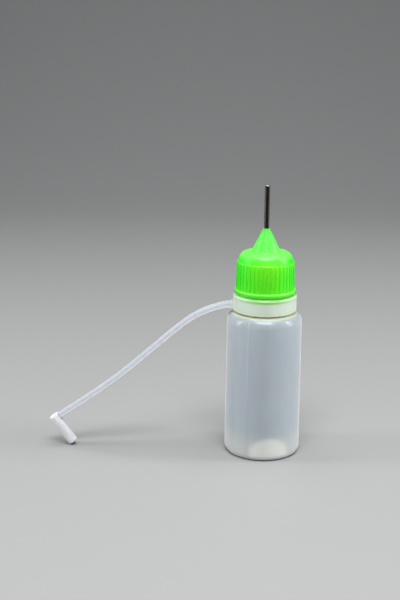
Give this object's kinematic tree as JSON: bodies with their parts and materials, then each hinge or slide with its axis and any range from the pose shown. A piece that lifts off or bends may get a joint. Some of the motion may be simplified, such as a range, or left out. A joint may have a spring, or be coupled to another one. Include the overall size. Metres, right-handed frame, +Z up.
{
  "type": "needle tip glue bottle",
  "caption": "Small round squeeze bottle with a screwed cone cap, a blunt steel needle and a strap that carries the needle's stopper.",
  "frame": {"origin": "centre of the bottle's foot, on the surface it stands on", "axes": "+Z up along the bottle and the needle; the strap leaves the ring towards -X"},
  "size_m": [0.0741, 0.022, 0.0786],
  "materials": {
    "bottle_polythene": "satin translucent",
    "tether_polythene": "satin translucent",
    "green_plastic": "glossy translucent",
    "steel": "bright drawn tube"
  },
  "bodies": {
    "bottle": {"bottle": "bottle_polythene"},
    "needle": {"needle": "steel"},
    "nozzle_cap": {"nozzle_cap": "green_plastic"},
    "ring": {"tether_ring": "tether_polythene"},
    "link_01": {"strap_link_01": "tether_polythene"},
    "link_02": {"strap_link_02": "tether_polythene"},
    "link_03": {"strap_link_03": "tether_polythene"},
    "link_04": {"strap_link_04": "tether_polythene"},
    "link_05": {"strap_link_05": "tether_polythene"},
    "link_06": {"strap_link_06": "tether_polythene"},
    "link_07": {"strap_link_07": "tether_polythene"},
    "link_08": {"strap_link_08": "tether_polythene"},
    "stopper": {"needle_stopper": "tether_polythene"}
  },
  "joints": [
    {"name": "cap_rise", "type": "slide", "parent": "bottle", "child": "needle", "axis": [0, 0, 1], "range_m": [0, 0.01508]},
    {"name": "cap_turn", "type": "hinge", "parent": "needle", "child": "nozzle_cap", "pos_m": [0, 0, 0.05], "axis": [0, 0, 1], "range_deg": [0, 1710]},
    {"name": "ring_swivel", "type": "hinge", "parent": "needle", "child": "ring", "pos_m": [0, 0, 0.045], "axis": [0, 0, 1], "continuous": true},
    {"name": "strap_fold", "type": "hinge", "parent": "ring", "child": "link_01", "pos_m": [-0.0107, 0, 0.04405], "axis": [0, 1, 0], "range_deg": [0, 55.29], "stiffness_Nm_per_rad": 0.0005, "springref_deg": 9.53},
    {"name": "strap_bend_02", "type": "hinge", "parent": "link_01", "child": "link_02", "pos_m": [-0.01699, 0, 0.04213], "axis": [0, 1, 0], "range_deg": [-21.2, 0], "stiffness_Nm_per_rad": 0.0005, "springref_deg": 7.61},
    {"name": "strap_bend_03", "type": "hinge", "parent": "link_02", "child": "link_03", "pos_m": [-0.02266, 0, 0.03879], "axis": [0, 1, 0], "range_deg": [0, 41.81], "stiffness_Nm_per_rad": 0.0005, "springref_deg": 6.04},
    {"name": "strap_bend_04", "type": "hinge", "parent": "link_03", "child": "link_04", "pos_m": [-0.02772, 0, 0.03458], "axis": [0, 1, 0], "range_deg": [0, 34.31], "stiffness_Nm_per_rad": 0.0005, "springref_deg": 4.77},
    {"name": "strap_press", "type": "hinge", "parent": "link_04", "child": "link_05", "pos_m": [-0.03266, 0, 0.03023], "axis": [0, 1, 0], "range_deg": [0, 42.4], "stiffness_Nm_per_rad": 0.0005, "springref_deg": 3.67},
    {"name": "strap_bend_06", "type": "hinge", "parent": "link_05", "child": "link_06", "pos_m": [-0.0376, 0, 0.02588], "axis": [0, 1, 0], "range_deg": [0, 31.01], "stiffness_Nm_per_rad": 0.0005, "springref_deg": 2.7},
    {"name": "strap_bend_07", "type": "hinge", "parent": "link_06", "child": "link_07", "pos_m": [-0.04265, 0, 0.02167], "axis": [0, 1, 0], "range_deg": [0, 30.01], "stiffness_Nm_per_rad": 0.0005, "springref_deg": 1.85},
    {"name": "strap_bend_08", "type": "hinge", "parent": "link_07", "child": "link_08", "pos_m": [-0.04789, 0, 0.01769], "axis": [0, 1, 0], "range_deg": [-21.2, 0], "stiffness_Nm_per_rad": 0.0005, "springref_deg": 1.11},
    {"name": "strap_bend_09", "type": "hinge", "parent": "link_08", "child": "stopper", "pos_m": [-0.05326, 0, 0.01389], "axis": [0, 1, 0], "range_deg": [0, 21.99], "stiffness_Nm_per_rad": 0.0005, "springref_deg": 0.5}
  ],
  "couplings": [
    {"joint": "cap_turn", "follows": "cap_rise", "rad_per_m": 1979},
    {"joint": "strap_bend_02", "follows": "strap_press", "ratio": -0.5},
    {"joint": "strap_bend_03", "follows": "strap_fold", "ratio": 0.75613},
    {"joint": "strap_bend_04", "follows": "strap_fold", "ratio": 0.62048},
    {"joint": "strap_bend_06", "follows": "strap_fold", "ratio": 0.56079},
    {"joint": "strap_bend_07", "follows": "strap_fold", "ratio": 0.54271},
    {"joint": "strap_bend_08", "follows": "strap_press", "ratio": -0.5},
    {"joint": "strap_bend_09", "follows": "strap_fold", "ratio": 0.39771}
  ]
}
